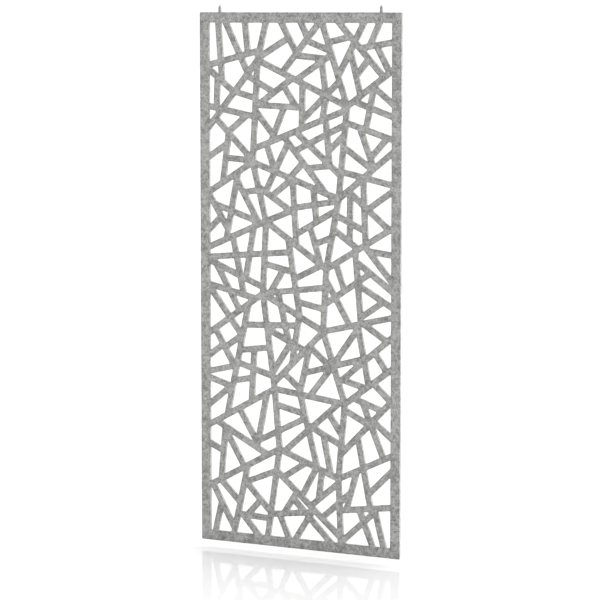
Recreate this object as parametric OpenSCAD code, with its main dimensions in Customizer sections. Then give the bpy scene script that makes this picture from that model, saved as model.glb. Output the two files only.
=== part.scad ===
// Hanging room divider: a stiff lattice panel faced with felt on both sides,
// held by two small cable grippers that stand on its top edge.
// All sizes are in millimetres. The panel stands in the XZ plane, its front
// faces -Y, and the origin lies midway between the two cable entries, +Z up.

/* [Panel] */
// Width of the panel
panel_w = 1000; // [800:10:1300]
// Height of the panel
panel_h = 2400; // [2000:10:2800]
// Thickness of each felt face
felt_t = 5; // [4.5:0.5:8]
// Thickness of the stiff core between the felts
core_t = 3; // [2:0.5:6]
// Width of the plain border round the lattice
border_w = 46; // [42:1:70]
// Width of the lattice strips
strip_w = 28; // [24:1:36]

/* [Lattice] */
// Number that picks one layout of the strips
lattice_seed = 5; // [1:1:60]
// Coarse fields across the panel, before the strips divide them
fields_across = 3; // [2:1:4]
// Coarse fields up the panel
fields_up = 7; // [5:1:9]
// Strips laid across the fields
strip_count = 180; // [80:5:200]
// Half length of the shortest strips
short_reach = 40; // [20:5:80]
// Half length of the longest strips
long_reach = 170; // [100:5:260]
// Largest turn of a strip away from square to its field's longest side
strip_swing = 50; // [20:1:70]
// Side of a square as large as the smallest piece that a strip may leave
least_span = 48; // [39:1:59]

/* [Cable grippers] */
// Distance from the panel's side edge to each gripper
gripper_inset = 100; // [60:5:250]
// Steel cable that the gripper takes
cable_d = 2; // [1.5:0.1:2.2]
// Diameter of the release nipple's head
head_d = 9.5; // [6.6:0.1:10]
// Height of the release nipple above the barrel
nipple_proud = 5.5; // [5:0.1:8]
// Stroke that frees the cable
release_travel = 2.5; // [1.5:0.1:3]
// Diameter of the gripping balls
ball_d = 2.4; // [2.2:0.1:2.4]
// Slope of the gripping cone, in degrees from the axis
cone_angle = 9; // [8:0.5:10]
// Outside diameter of the barrel
barrel_d = 13; // [10.6:0.2:14]
// Length of the barrel
barrel_len = 21; // [20:0.5:26]
// Thickness of the spring wire
wire_d = 0.5; // [0.4:0.05:0.55]
// Turns of the spring
spring_turns = 5; // [4:1:5]

/* [Base and anchor] */
// Width across the flats of the hexagon under the barrel
hex_af = 13; // [11.5:0.5:15]
// Height of the hexagon
hex_t = 2.5; // [2:0.5:5]
// Outside diameter of the washer
washer_d = 16; // [15:0.5:20]
// Thickness of the washer
washer_t = 1; // [0.8:0.2:2]
// Diameter of the threaded stud
stud_d = 6; // [5:0.5:6]
// Length of the stud below the washer
stud_len = 24; // [18:1:30]
// Length of the metal anchor block along the panel
anchor_len = 40; // [25:1:60]
// Height of the anchor block
anchor_h = 26; // [22:1:30]
// Depth of the anchor block below the panel's top edge
anchor_drop = 6; // [4:1:8]
// Felt left outside the anchor block on each face
anchor_cover = 2; // [1.5:0.1:2]

/* [Hidden] */
$fn = 48;

// Clearances
fit_gap = 0.05;
run_gap = 0.06;
pocket_gap = 0.2;
stud_gap = 0.25;
seat_gap = 0.03;
cable_gap = 0.1;
spring_gap = 0.1;
// How far a cut runs past the face that it opens
cut_past = 1;

// Small sizes of the gripper
cage_wall = 0.7;
guide_len = 2.5;
press_gap = 0.4;
cage_tail = 0.6;
flange_t = 1;
flange_gap = 0.3;
plug_len = 6;
outlet_tilt = 70;
outlet_depth = 1;
well_gap = 0.3;
edge_cut = 0.6;
balls = 3;

// Heights, downwards from the cable entries
barrel_top = -nipple_proud;
barrel_end = barrel_top - barrel_len;
hex_end = barrel_end - hex_t;
panel_top = hex_end - washer_t;
panel_bottom = panel_top - panel_h;
panel_t = 2 * felt_t + core_t;
stud_end = panel_top - stud_len;
anchor_top = panel_top - anchor_drop;
anchor_t = panel_t - 2 * (anchor_cover + pocket_gap);
gripper_x = panel_w / 2 - gripper_inset;

// Inside of the gripper
ball_r = ball_d / 2;
entry_r = cable_d / 2 + cable_gap;
ball_ring_r = entry_r + ball_r + seat_gap;
cage_r = ball_ring_r + cage_wall;
guide_r = cage_r + run_gap;
grip_r = ball_ring_r + (ball_r + seat_gap) / cos(cone_angle);
cone_top = barrel_top - guide_len;
ball_z = cone_top - (grip_r - guide_r) / tan(cone_angle);
nipple_end = ball_z - ball_r - cage_tail - flange_t;
cone_end = nipple_end - release_travel;
bore_r = grip_r + (ball_z - cone_end) * tan(cone_angle);
flange_r = grip_r + (ball_r + cage_tail) * tan(cone_angle) - flange_gap;
head_len = nipple_proud - release_travel - press_gap;
plug_top = barrel_end + plug_len;
outlet_z = plug_top - outlet_depth;
coil_r = flange_r - wire_d / 2 - spring_gap;

// ---- layout of the lattice ----

// Wandering of a field's corner and lift of every other row, in fields
corner_wander = 0.3;
zigzag = 0.27;
// Wandering of a strip off the middle of its cell
strip_wander = 15;
// Heights count a little less, which lets the openings grow taller than wide
height_weight = 0.8;
// Least area over the squared way round that a piece may have
least_fatness = 0.037;
// Side of a square as large as the smallest opening that is cut
least_hole = 11;

// The layout works on the strips' middle lines, so it starts half a strip
// inside the border's inner edge.
lead = border_w - strip_w / 2;
net_w = panel_w - 2 * lead;
net_h = panel_h - 2 * lead;
strip_draws = rands(0, 1, 4 * strip_count, lattice_seed);
corner_count = (fields_across + 1) * (fields_up + 1);
corner_draws = rands(-corner_wander, corner_wander, 2 * corner_count, lattice_seed + 1);

function total(list, i = 0) = i == len(list) ? 0 : list[i] + total(list, i + 1);
function point_total(list, i = 0) = i == len(list) ? [0, 0] : list[i] + point_total(list, i + 1);
function sides(p) = [for (i = [0 : len(p) - 1]) p[(i + 1) % len(p)] - p[i]];
function area(p) = abs(total([
    for (i = [0 : len(p) - 1])
        let (q = p[(i + 1) % len(p)])
        p[i].x * q.y - p[i].y * q.x
])) / 2;
// Area over the squared way round: small for a sliver, largest for a disc
function fatness(p) = area(p) / pow(total([for (s = sides(p)) norm(s)]), 2);
function square_to(v) = [-v.y, v.x] / norm(v);
function first_most(list, weights) =
    let (most = max(weights))
    [for (i = [0 : len(list) - 1]) if (weights[i] == most) list[i]][0];
function largest(cells) = first_most(cells, [for (c = cells) area(c)]);
function longest_side(p) = first_most(sides(p), [for (s = sides(p)) norm([s.x, height_weight * s.y])]);

// What a line through "at" leaves of a convex outline on its inner side
function clipped(p, at, inner, gap = 0) = [
    for (k = [0 : len(p) - 1])
        let (
            q = p[k],
            r = p[(k + 1) % len(p)],
            hq = (q - at) * inner - gap,
            hr = (r - at) * inner - gap
        )
        each concat(
            hq >= 0 ? [q] : [],
            hq * hr < 0 ? [q + (r - q) * hq / (hq - hr)] : []
        )
];
function crossings(p, at, normal) = [
    for (k = [0 : len(p) - 1])
        let (
            q = p[k],
            r = p[(k + 1) % len(p)],
            hq = (q - at) * normal,
            hr = (r - at) * normal
        )
        if (hq * hr < 0) q + (r - q) * hq / (hq - hr)
];
// A strip divides each cell that it crosses within its reach, unless the
// pieces come out too small or too slender.
function divided(p, at, along, reach) =
    let (
        normal = square_to(along),
        ends = crossings(p, at, normal)
    )
    len(ends) < 2 || norm((ends[0] + ends[1]) / 2 - at) > reach ? [p]
    : let (parts = [clipped(p, at, normal), clipped(p, at, -normal)])
    min([for (q = parts) area(q)]) < pow(least_span, 2) ? [p]
    : min([for (q = parts) fatness(q)]) < least_fatness ? [p]
    : parts;
// Strip after strip is laid through the middle of the largest cell left
function laid(cells, n = 0) =
    n == strip_count ? cells
    : let (
        cell = largest(cells),
        side = longest_side(cell),
        draw = [for (k = [0 : 3]) strip_draws[4 * n + k]],
        at = point_total(cell) / len(cell) + strip_wander * [draw[2] - 0.5, draw[3] - 0.5],
        turn = atan2(side.y, side.x) + 90 + (2 * draw[0] - 1) * strip_swing,
        reach = short_reach + (long_reach - short_reach) * draw[1]
    )
    laid([for (c = cells) each divided(c, at, [cos(turn), sin(turn)], reach)], n + 1);

// The coarse fields are a grid whose corners wander and whose rows zigzag
function astray(i, last, k) = i == 0 || i == last ? 0 : corner_draws[k];
function lifted(i, j) = j == 0 || j == fields_up ? 0 : (i % 2 == 0 ? -zigzag : zigzag);
function corner(i, j) =
    let (k = 2 * (i * (fields_up + 1) + j))
    [
        ((i + astray(i, fields_across, k)) / fields_across - 0.5) * net_w,
        (j + lifted(i, j) + astray(j, fields_up, k + 1)) / fields_up * net_h + lead
    ];
fields = [
    for (i = [0 : fields_across - 1])
        for (j = [0 : fields_up - 1])
            [corner(i, j), corner(i + 1, j), corner(i + 1, j + 1), corner(i, j + 1)]
];

// An opening is its cell with half a strip taken off along every side
function opening(p, cell, i = 0) =
    len(p) < 3 || i == len(cell) ? p
    : opening(clipped(p, cell[i], square_to(sides(cell)[i]), strip_w / 2), cell, i + 1);
openings = [
    for (cell = laid(fields))
        let (p = opening(cell, cell))
        if (len(p) > 2 && area(p) > pow(least_hole, 2)) p
];

module lattice() {
    difference() {
        translate([-panel_w / 2, 0])
            square([panel_w, panel_h]);
        for (p = openings)
            polygon(p);
    }
}

// ---- shared shapes ----

// One sheet of the panel, from "front" backwards
module sheet(front, thickness) {
    translate([0, front + thickness, panel_bottom])
        rotate([90, 0, 0])
            linear_extrude(thickness)
                lattice();
}

// Hollow for one anchor block, and the hole down to it for the stud
module anchor_pocket(x) {
    translate([x, 0, anchor_top - anchor_h / 2])
        cube([anchor_len, anchor_t, anchor_h] + 2 * pocket_gap * [1, 1, 1], center = true);
    translate([x, 0, anchor_top - cut_past])
        cylinder(r = stud_d / 2 + stud_gap, h = anchor_drop + 2 * cut_past);
}

module pocketed_sheet(front, thickness) {
    difference() {
        sheet(front, thickness);
        anchor_pocket(-gripper_x);
        anchor_pocket(gripper_x);
    }
}

// Way of the cable's tail out of the gripper's back
module outlet() {
    translate([0, 0, outlet_z])
        rotate([180 + outlet_tilt, 0, 0])
            cylinder(r = entry_r, h = barrel_d);
}

module ball_ring(r) {
    for (i = [0 : balls - 1])
        rotate([0, 0, 90 + i * 360 / balls])
            translate([ball_ring_r, 0, ball_z])
                sphere(r = r, $fn = 24);
}

// ---- sub-parts ----

module front_felt() {
    color([0.64, 0.64, 0.63])
        pocketed_sheet(-panel_t / 2, felt_t);
}

module core_board() {
    color([0.35, 0.35, 0.36])
        pocketed_sheet(-core_t / 2, core_t);
}

module back_felt() {
    color([0.6, 0.6, 0.59])
        pocketed_sheet(core_t / 2, felt_t);
}

module anchor(x) {
    color([0.72, 0.74, 0.77])
        translate([x, 0, anchor_top])
            difference() {
                translate([0, 0, -anchor_h / 2])
                    cube([anchor_len, anchor_t, anchor_h], center = true);
                translate([0, 0, -anchor_h - cut_past])
                    cylinder(r = stud_d / 2 + fit_gap, h = anchor_h + 2 * cut_past);
            }
}

module washer(x) {
    color([0.8, 0.8, 0.82])
        translate([x, 0, panel_top])
            difference() {
                cylinder(d = washer_d, h = washer_t);
                translate([0, 0, -cut_past])
                    cylinder(r = stud_d / 2 + stud_gap, h = washer_t + 2 * cut_past);
            }
}

// Stud, hexagon and the plug that closes the barrel, in one piece
module base_stud(x) {
    color([0.62, 0.63, 0.65])
        translate([x, 0, 0])
            difference() {
                union() {
                    translate([0, 0, stud_end])
                        cylinder(d = stud_d, h = hex_end - stud_end);
                    translate([0, 0, hex_end])
                        cylinder(d = hex_af / cos(30), h = hex_t, $fn = 6);
                    translate([0, 0, barrel_end])
                        cylinder(r = bore_r - fit_gap, h = plug_len);
                }
                translate([0, 0, outlet_z - entry_r])
                    cylinder(r = entry_r + well_gap, h = entry_r + outlet_depth + cut_past);
                outlet();
            }
}

module barrel(x) {
    outer = barrel_d / 2;
    color([0.7, 0.71, 0.73])
        translate([x, 0, 0])
            difference() {
                rotate_extrude()
                    polygon([
                        [guide_r, barrel_top],
                        [outer - edge_cut, barrel_top],
                        [outer, barrel_top - edge_cut],
                        [outer, barrel_end],
                        [bore_r, barrel_end],
                        [bore_r, cone_end],
                        [guide_r, cone_top]
                    ]);
                outlet();
            }
}

// Release nipple: head, guide and ball cage, with the cable's bore through it
module nipple(x) {
    head_r = head_d / 2;
    color([0.78, 0.79, 0.8])
        translate([x, 0, 0])
            difference() {
                rotate_extrude()
                    polygon([
                        [entry_r, 0],
                        [head_r - edge_cut, 0],
                        [head_r, -edge_cut],
                        [head_r, -head_len],
                        [cage_r, -head_len],
                        [cage_r, nipple_end + flange_t],
                        [flange_r, nipple_end + flange_t],
                        [flange_r, nipple_end],
                        [entry_r, nipple_end]
                    ]);
                for (i = [0 : balls - 1])
                    rotate([0, 0, 90 + i * 360 / balls])
                        translate([0, 0, ball_z])
                            rotate([0, 90, 0])
                                cylinder(r = ball_r + fit_gap, h = cage_r + cut_past);
            }
}

module gripping_balls(x) {
    color([0.85, 0.86, 0.88])
        translate([x, 0, 0])
            ball_ring(ball_r);
}

// Coil spring that lifts the nipple, swept along its helix
module release_spring(x) {
    steps = 12;
    ring = 5;
    low = plug_top + wire_d / 2 + seat_gap;
    high = nipple_end - wire_d / 2 - seat_gap;
    last = spring_turns * steps;
    points = [
        for (i = [0 : last])
            for (k = [0 : ring - 1])
                let (
                    turn = 360 * i / steps,
                    side = 360 * k / ring,
                    r = coil_r + wire_d / 2 * cos(side)
                )
                [r * cos(turn), r * sin(turn), low + (high - low) * i / last + wire_d / 2 * sin(side)]
    ];
    walls = [
        for (i = [0 : last - 1])
            for (k = [0 : ring - 1])
                let (
                    a = i * ring + k,
                    b = i * ring + (k + 1) % ring
                )
                each [[a, b, a + ring], [b, b + ring, a + ring]]
    ];
    start_cap = [for (k = [1 : ring - 2]) [0, k + 1, k]];
    end_cap = [for (k = [1 : ring - 2]) last * ring * [1, 1, 1] + [0, k, k + 1]];
    color([0.5, 0.51, 0.53])
        translate([x, 0, 0])
            polyhedron(points, concat(start_cap, walls, end_cap));
}

front_felt();
core_board();
back_felt();
anchor(-gripper_x);  // left_anchor
anchor(gripper_x);  // right_anchor
washer(-gripper_x);  // left_washer
washer(gripper_x);  // right_washer
base_stud(-gripper_x);  // left_base_stud
base_stud(gripper_x);  // right_base_stud
barrel(-gripper_x);  // left_barrel
barrel(gripper_x);  // right_barrel
nipple(-gripper_x);  // left_nipple
nipple(gripper_x);  // right_nipple
gripping_balls(-gripper_x);  // left_balls
gripping_balls(gripper_x);  // right_balls
release_spring(-gripper_x);  // left_spring
release_spring(gripper_x);  // right_spring
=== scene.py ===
"""Hanging room divider: a heather-grey felt lattice on two small cable grippers.

The frame gives the place and size of every part. This script dresses it: the
lattice's three layers get rounded openings, soft cut edges and felt that
shows its fibres, and the grippers are turned, threaded and plated.

Lengths are in metres, but a gripper's own sizes are in millimetres. X runs
across the panel, its front faces -Y, and the origin lies midway between the
two cable entries, with +Z up.
"""

import logging
import math
from dataclasses import dataclass
from enum import Enum
from operator import itemgetter
from typing import Callable, Sequence

import bmesh
import bpy
import numpy as np
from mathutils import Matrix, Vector
from mathutils.geometry import delaunay_2d_cdt


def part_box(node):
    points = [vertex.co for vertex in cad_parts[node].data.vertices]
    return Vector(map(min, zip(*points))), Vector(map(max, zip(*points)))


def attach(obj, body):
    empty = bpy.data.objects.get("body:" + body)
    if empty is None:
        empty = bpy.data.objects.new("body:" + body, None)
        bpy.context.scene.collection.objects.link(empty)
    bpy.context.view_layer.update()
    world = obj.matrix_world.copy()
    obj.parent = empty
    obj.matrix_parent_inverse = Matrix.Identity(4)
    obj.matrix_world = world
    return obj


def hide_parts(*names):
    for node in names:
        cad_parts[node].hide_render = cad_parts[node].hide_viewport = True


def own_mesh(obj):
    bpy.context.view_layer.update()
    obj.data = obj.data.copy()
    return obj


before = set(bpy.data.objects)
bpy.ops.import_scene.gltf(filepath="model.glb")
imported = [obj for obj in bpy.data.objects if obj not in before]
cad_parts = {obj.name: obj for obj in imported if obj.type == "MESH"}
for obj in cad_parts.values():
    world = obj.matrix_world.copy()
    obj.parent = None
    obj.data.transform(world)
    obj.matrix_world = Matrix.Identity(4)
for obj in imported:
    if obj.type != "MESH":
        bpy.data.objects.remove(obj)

log = logging.getLogger("divider")
MM = 0.001
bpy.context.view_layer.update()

FloatArray = np.ndarray
IntArray = np.ndarray
Object = bpy.types.Object
Material = bpy.types.Material
Socket = bpy.types.NodeSocket
Profile = list[tuple[float, float]]
Shaping = Callable[[FloatArray, FloatArray, FloatArray], FloatArray]

# Steps to the metre in which the corners of a drawn part are told apart
PER_METRE = 1e5
# Sine of the least turn that makes a corner of an outline
LEAST_SINE = 0.01
# A corner that turns less than this, in radians, gets no arc
LEAST_TURN = 0.02
# Share of the shorter side that an arc may take
MOST_REACH = 0.4
# Angle past which an edge is shaded as a crease
CREASE = math.radians(38)


class Side(Enum):
    """Which gripper a part belongs to."""

    LEFT = "left"
    RIGHT = "right"


class Layer(Enum):
    """A layer of the lattice panel, by the CAD node that it stands for."""

    FRONT = "front_felt"
    CORE = "core_board"
    BACK = "back_felt"


class Ends(Enum):
    """How a turned profile ends along its axis."""

    THROUGH = "through"
    CAPPED = "capped"


# ---------------------------------------------------------------- outlines


@dataclass
class Loops:
    """Closed outlines in the panel's plane, all in one array.

    Attributes:
        points: place of every corner, one row of (x, z) each.
        loop: number of the outline that each corner belongs to, ascending.
        swell: how far a point is from the ends of its own straight side.
    """

    points: FloatArray
    loop: IntArray
    swell: FloatArray | None = None

    def neighbours(self) -> tuple[IntArray, IntArray]:
        """Finds the corners before and after each one, round its own outline.

        Returns:
            The index of the corner before, and of the corner after.
        """
        index = np.arange(len(self.loop))
        first = np.searchsorted(self.loop, self.loop, side="left")
        last = np.searchsorted(self.loop, self.loop, side="right") - 1
        before = np.where(index == first, last, index - 1)
        after = np.where(index == last, first, index + 1)
        return before, after

    def rounded(self, radius: float, steps: int) -> "Loops":
        """Rounds every corner with an arc that touches both of its sides.

        An arc of the wanted radius touches the sides at radius / tan(half the
        corner's angle) from the corner, or at MOST_REACH of the shorter side
        if that is less. Its points turn evenly about the arc's middle.

        Args:
            radius: wanted radius of the arcs.
            steps: number of straight pieces in each arc.

        Returns:
            The outlines with steps + 1 points for each corner, and one for
            each corner that is straight already.
        """
        before, after = self.neighbours()
        back = self.points[before] - self.points
        ahead = self.points[after] - self.points
        back_len = np.linalg.norm(back, axis=1)
        ahead_len = np.linalg.norm(ahead, axis=1)
        back /= back_len[:, None]
        ahead /= ahead_len[:, None]
        half = np.arccos(np.clip((back * ahead).sum(1), -0.99999, 1)) / 2
        reach = np.minimum(radius / np.tan(half), MOST_REACH * np.minimum(back_len, ahead_len))
        middle = back + ahead
        middle /= np.maximum(np.linalg.norm(middle, axis=1), 1e-9)[:, None]
        centre = self.points + middle * (reach / np.cos(half))[:, None]
        start = self.points + back * reach[:, None] - centre
        end = self.points + ahead * reach[:, None] - centre
        sweep = (math.pi - 2 * half)[:, None, None]
        share = np.linspace(0, 1, steps + 1)[None, :, None]
        arc = np.sin((1 - share) * sweep) * start[:, None] + np.sin(share * sweep) * end[:, None]
        arc = centre[:, None] + arc / np.sin(sweep)
        straight = sweep[:, 0, 0] < LEAST_TURN
        arc[straight] = self.points[straight][:, None]
        kept = ~straight[:, None] | (np.arange(steps + 1) == 0)[None]
        return Loops(arc[kept], np.repeat(self.loop, steps + 1).reshape(kept.shape)[kept])

    def divided(self, step: float) -> "Loops":
        """Splits every side into equal lengths of at most one step.

        Args:
            step: longest side that is left.

        Returns:
            The outlines with points added along their sides. Their swell is
            the product of the two shares of the side, times its length.
        """
        _, after = self.neighbours()
        run = self.points[after] - self.points
        count = np.maximum(1, np.ceil(np.linalg.norm(run, axis=1) / step)).astype(int)
        side = np.repeat(np.arange(len(count)), count)
        place = np.arange(count.sum()) - np.repeat(np.cumsum(count) - count, count)
        share = (place / count[side])[:, None]
        swell = share * (1 - share) * np.linalg.norm(run[side], axis=1)[:, None]
        return Loops(self.points[side] + share * run[side], self.loop[side], swell[:, 0])

    def inward(self) -> FloatArray:
        """Gives the unit direction from each point into the felt.

        The felt lies on the left of an outline as it runs, so the direction is
        the chord between the two neighbours turned left by a quarter.

        Returns:
            One direction for each point.
        """
        before, after = self.neighbours()
        chord = self.points[after] - self.points[before]
        chord /= np.linalg.norm(chord, axis=1)[:, None]
        return np.column_stack([-chord[:, 1], chord[:, 0]])


def triangles_of(mesh: bpy.types.Mesh) -> tuple[FloatArray, IntArray]:
    """Reads a mesh as triangles.

    Args:
        mesh: the mesh.

    Returns:
        The place of every point, and the three corners of every triangle.
    """
    mesh.calc_loop_triangles()
    place = np.empty(len(mesh.vertices) * 3)
    mesh.vertices.foreach_get("co", place)
    corners = np.empty(len(mesh.loop_triangles) * 3, int)
    mesh.loop_triangles.foreach_get("vertices", corners)
    return place.reshape(-1, 3), corners.reshape(-1, 3)


def outlines_of(node: str) -> Loops:
    """Reads the outlines of a lattice layer from the flat face of its CAD node.

    Corners nearer than a hundredth of a millimetre are one. The triangles of
    the node's foremost plane are kept, and an edge that only one of them uses
    is on an outline. Corners that lie on a straight side are dropped.

    Args:
        node: name of the CAD node.

    Returns:
        The outer outline anticlockwise and the openings clockwise, as seen
        from the front, so the felt is on the left of each.
    """
    place, corners = triangles_of(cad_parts[node].data)
    grid, merged = np.unique(np.round(place * PER_METRE).astype(int), axis=0, return_inverse=True)
    triangles = merged.reshape(-1)[corners]
    triangles = triangles[(grid[triangles][:, :, 1] == grid[:, 1].min()).all(1)]
    edges = np.concatenate([triangles[:, [0, 1]], triangles[:, [1, 2]], triangles[:, [2, 0]]])
    code = edges[:, 0] * len(grid) + edges[:, 1]
    twin = edges[:, 1] * len(grid) + edges[:, 0]
    following = dict(edges[~np.isin(code, twin)].tolist())
    chains: list[list[int]] = []
    while following:
        corner, step = following.popitem()
        chain = [corner]
        while step != chain[0]:
            chain.append(step)
            step = following.pop(step)
        chains.append(chain)
    points = grid[np.concatenate(chains)][:, [0, 2]] / PER_METRE
    loops = Loops(points, np.repeat(np.arange(len(chains)), [len(chain) for chain in chains]))
    before, after = loops.neighbours()
    run_in = points - points[before]
    run_out = points[after] - points
    cross = np.abs(run_in[:, 0] * run_out[:, 1] - run_in[:, 1] * run_out[:, 0])
    turned = cross > LEAST_SINE * np.linalg.norm(run_in, axis=1) * np.linalg.norm(run_out, axis=1)
    return Loops(points[turned], loops.loop[turned])


def wandering(points: FloatArray, wave: float, seed: int, count: int = 14) -> FloatArray:
    """Gives a smooth, aimless height over the panel.

    It is the sum of plane sine waves that run in all directions, with lengths
    from 0.6 to 1.7 times the given one, divided so that it stays about unity.

    Args:
        points: places in the panel's plane.
        wave: middle wave length.
        seed: number that picks the waves.
        count: number of waves.

    Returns:
        One height for each point.
    """
    draw = np.random.default_rng(seed)
    turn = draw.uniform(0, 2 * math.pi, count)
    length = wave * draw.uniform(0.6, 1.7, count)
    start = draw.uniform(0, 2 * math.pi, count)
    run = np.column_stack([np.cos(turn), np.sin(turn)]) / length[:, None]
    return np.sin(2 * math.pi * points @ run.T + start).sum(1) / math.sqrt(count / 2)


def nearest_of(targets: FloatArray, points: FloatArray, block: int = 1500) -> tuple[FloatArray, IntArray]:
    """Finds the nearest target of each point, in blocks that fit in memory.

    Args:
        targets: places to look for.
        points: places to look from.
        block: number of points in a block.

    Returns:
        The distance to the nearest target, and its number.
    """
    gaps, numbers = [], []
    for start in range(0, len(points), block):
        gap = np.linalg.norm(points[start : start + block, None] - targets[None], axis=2)
        numbers.append(gap.argmin(1))
        gaps.append(gap.min(1))
    return np.concatenate(gaps), np.concatenate(numbers)


# ------------------------------------------------------------------ meshes


def turns_of(count: int) -> FloatArray:
    """Gives so many even angles round a circle, the first at zero."""
    return np.arange(count) * 2 * math.pi / count


def strip_faces(rows: IntArray, after: IntArray) -> IntArray:
    """Joins rows of points that run round closed outlines with four-sided faces.

    Args:
        rows: number of each point, one row for each step of the profile.
        after: place in a row of the point that follows each one.

    Returns:
        The faces' corners.
    """
    low, high = rows[:-1], rows[1:]
    return np.stack([low, low[:, after], high[:, after], high], -1).reshape(-1, 4)


def ring_faces(rows: IntArray) -> IntArray:
    """Joins rings of points, one row each, with four-sided faces."""
    return strip_faces(rows, np.roll(np.arange(rows.shape[1]), -1))


def capped_faces(rows: IntArray, last: int) -> list[IntArray]:
    """Joins rings with each other, and both end rings with a pole.

    Args:
        rows: number of each point, one row for each ring.
        last: number of the pole at the last ring. The first one's is 0.

    Returns:
        The faces' corners, in three groups.
    """
    first, final = rows[0], rows[-1]
    fan = np.stack([np.zeros_like(first), np.roll(first, -1), first], -1)
    close = np.stack([np.full_like(final, last), final, np.roll(final, -1)], -1)
    return [ring_faces(rows), fan, close]


def face_outwards(mesh: bpy.types.Mesh) -> None:
    """Turns a closed mesh's faces outwards, if its volume comes out negative.

    Args:
        mesh: the mesh.
    """
    place, corners = triangles_of(mesh)
    a, b, c = place[corners].transpose(1, 0, 2)
    if (a * np.cross(b, c)).sum() < 0:
        mesh.flip_normals()


def new_object(
    name: str,
    points: FloatArray,
    faces: Sequence[IntArray],
    finish: Material,
    closed: bool = True,
    **values: FloatArray,
) -> Object:
    """Puts points and faces into a new object, with values on its points.

    Args:
        name: name of the piece.
        points: place of every point, in metres.
        faces: arrays of faces, each with one number of corners.
        finish: material of the piece.
        closed: turn its faces outwards, and shade it smooth between creases.
        **values: name and value at every point of each attribute.

    Returns:
        The new object, at the origin.
    """
    mesh = bpy.data.meshes.new(name)
    listed = [face for group in faces for face in np.asarray(group).tolist()]
    mesh.from_pydata(points.tolist(), [], listed)
    mesh.validate()
    for key, value in values.items():
        attribute = mesh.attributes.new(key, "FLOAT", "POINT")
        attribute.data.foreach_set("value", np.asarray(value, np.float32))
    mesh.polygons.foreach_set("use_smooth", np.full(len(mesh.polygons), closed))
    if closed:
        mesh.set_sharp_from_angle(angle=CREASE)
        face_outwards(mesh)
    mesh.materials.append(finish)
    mesh.update()
    piece = bpy.data.objects.new(name, mesh)
    bpy.context.scene.collection.objects.link(piece)
    return piece


def cut_with(piece: Object, cutters: Sequence[Object]) -> None:
    """Takes closed cutters out of a closed piece, and removes the cutters.

    Points nearer than a two hundredth of a millimetre are one afterwards, so
    no sliver is left where a cutter just passes a corner.

    Args:
        piece: piece that is cut.
        cutters: shapes that are taken out of it.
    """
    for cutter in cutters:
        cut = piece.modifiers.new("cut", "BOOLEAN")
        cut.operation = "DIFFERENCE"
        cut.solver = "MANIFOLD"
        cut.object = cutter
    bpy.context.view_layer.update()
    seen = piece.evaluated_get(bpy.context.evaluated_depsgraph_get())
    result = bpy.data.meshes.new_from_object(seen)
    piece.modifiers.clear()
    old, piece.data = piece.data, result
    result.name = old.name
    used = [old, *(cutter.data for cutter in cutters)]
    for cutter in cutters:
        bpy.data.objects.remove(cutter)
    for mesh in used:
        bpy.data.meshes.remove(mesh)
    clean = bmesh.new()
    clean.from_mesh(result)
    bmesh.ops.remove_doubles(clean, verts=clean.verts, dist=0.005 * MM)
    bmesh.ops.dissolve_degenerate(clean, edges=clean.edges, dist=0.002 * MM)
    clean.to_mesh(result)
    clean.free()
    result.set_sharp_from_angle(angle=CREASE)


def block_of(low: Sequence[float], high: Sequence[float], finish: Material) -> Object:
    """Makes a square cutter between two corners.

    Args:
        low: its lowest corner, in metres.
        high: its highest corner.
        finish: material of its cut.

    Returns:
        The cutter's object.
    """
    grid = np.array(np.meshgrid(*zip(low, high), indexing="ij")).reshape(3, -1).T
    sides = [[0, 1, 3, 2], [4, 6, 7, 5], [0, 4, 5, 1], [2, 3, 7, 6], [0, 2, 6, 4], [1, 5, 7, 3]]
    return new_object("cutter", grid, [np.array(sides)], finish)


def rod_of(
    start: Sequence[float], end: Sequence[float], radius: float, finish: Material, around: int = 40
) -> Object:
    """Makes a round cutter between two points.

    Its two end rings lie square to the rod, at radius from its line.

    Args:
        start: middle of one end, in metres.
        end: middle of the other end.
        radius: radius of the rod.
        finish: material of its cut.
        around: number of points round it.

    Returns:
        The cutter's object.
    """
    first, last = np.array(start, float), np.array(end, float)
    along = (last - first) / np.linalg.norm(last - first)
    across = np.cross(along, [1.0, 0.0, 0.0] if abs(along[0]) < 0.9 else [0.0, 1.0, 0.0])
    across /= np.linalg.norm(across)
    up = np.cross(along, across)
    angle = turns_of(around)[:, None]
    ring = radius * (np.cos(angle) * across + np.sin(angle) * up)
    number = np.arange(2 * around).reshape(2, around)
    faces = [ring_faces(number), number[:1, ::-1], number[1:]]
    return new_object("cutter", np.vstack([first + ring, last + ring]), faces, finish)


def dressed(piece: Object, node: str, body: str) -> Object:
    """Lets a piece stand for its CAD node.

    Args:
        piece: the piece.
        node: name of the CAD node.
        body: body that it rides on.

    Returns:
        The piece.
    """
    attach(piece, body)
    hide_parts(node)
    return piece


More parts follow.
